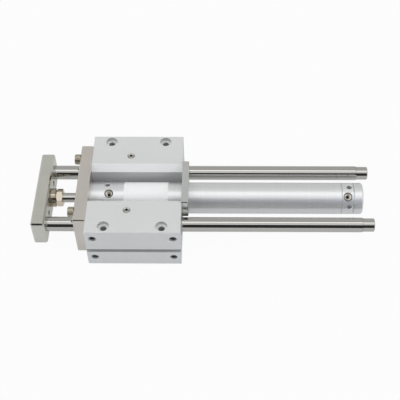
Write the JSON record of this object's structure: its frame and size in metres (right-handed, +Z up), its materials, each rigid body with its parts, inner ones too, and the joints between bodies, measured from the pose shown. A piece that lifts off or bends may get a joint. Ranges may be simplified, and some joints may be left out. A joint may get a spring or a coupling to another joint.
{
  "type": "guided pneumatic cylinder",
  "caption": "Air cylinder lying in a winged guide body; twin chromed guide rods and a floating rod end drive the front plate.",
  "frame": {"origin": "centre of the guide body's flat base", "axes": "+X from the front plate to the rear end of the cylinder, +Z up out of the wings, +Y across"},
  "size_m": [0.2775, 0.104, 0.0435],
  "materials": {
    "anodised_aluminium": "clear anodised, matt",
    "tube_aluminium": "hard anodised, fine turned",
    "nickel_steel": "electroless nickel plated, satin",
    "hard_chrome": "hard chromed and ground",
    "plated_fastener": "nickel plated, bright",
    "bronze": "plain bearing bronze",
    "seal_rubber": "matt black",
    "felt": "oiled felt",
    "cast_iron_bearing": "machined",
    "ring_polymer": "wear ring polymer"
  },
  "bodies": {
    "housing": {"guide_body": "anodised_aluminium", "front_flange": "nickel_steel", "flange_bolts": "plated_fastener", "flange_screws": "plated_fastener", "bearing_retaining_rings": "nickel_steel", "grease_nipples": "plated_fastener", "rear_plate": "nickel_steel", "rear_plate_screws": "plated_fastener", "cylinder_tube": "tube_aluminium", "rod_cover": "tube_aluminium", "cover_screws": "plated_fastener", "cushion_needles": "plated_fastener", "tube_gasket": "seal_rubber", "rod_bushing": "bronze", "rod_seal": "seal_rubber", "seal_retainer": "nickel_steel", "front_bumper": "seal_rubber", "rear_bumper": "seal_rubber", "bearing_front_left": "cast_iron_bearing", "bearing_rear_left": "cast_iron_bearing", "rod_wiper_left": "seal_rubber", "oil_felt_left": "felt", "bearing_front_right": "cast_iron_bearing", "bearing_rear_right": "cast_iron_bearing", "rod_wiper_right": "seal_rubber", "oil_felt_right": "felt"},
    "carriage": {"front_plate": "nickel_steel", "guide_rod_screws": "plated_fastener", "guide_rod_left": "hard_chrome", "guide_rod_right": "hard_chrome", "piston_rod": "hard_chrome", "rod_end_nut": "plated_fastener", "end_bracket": "plated_fastener", "bracket_lock_nut": "plated_fastener", "piston": "tube_aluminium", "piston_nut": "plated_fastener", "magnet_ring": "cast_iron_bearing", "piston_seal": "seal_rubber", "wear_ring": "ring_polymer"}
  },
  "joints": [
    {"name": "plate_slide", "type": "slide", "parent": "housing", "child": "carriage", "axis": [-1, 0, 0], "range_m": [0, 0.15]}
  ]
}
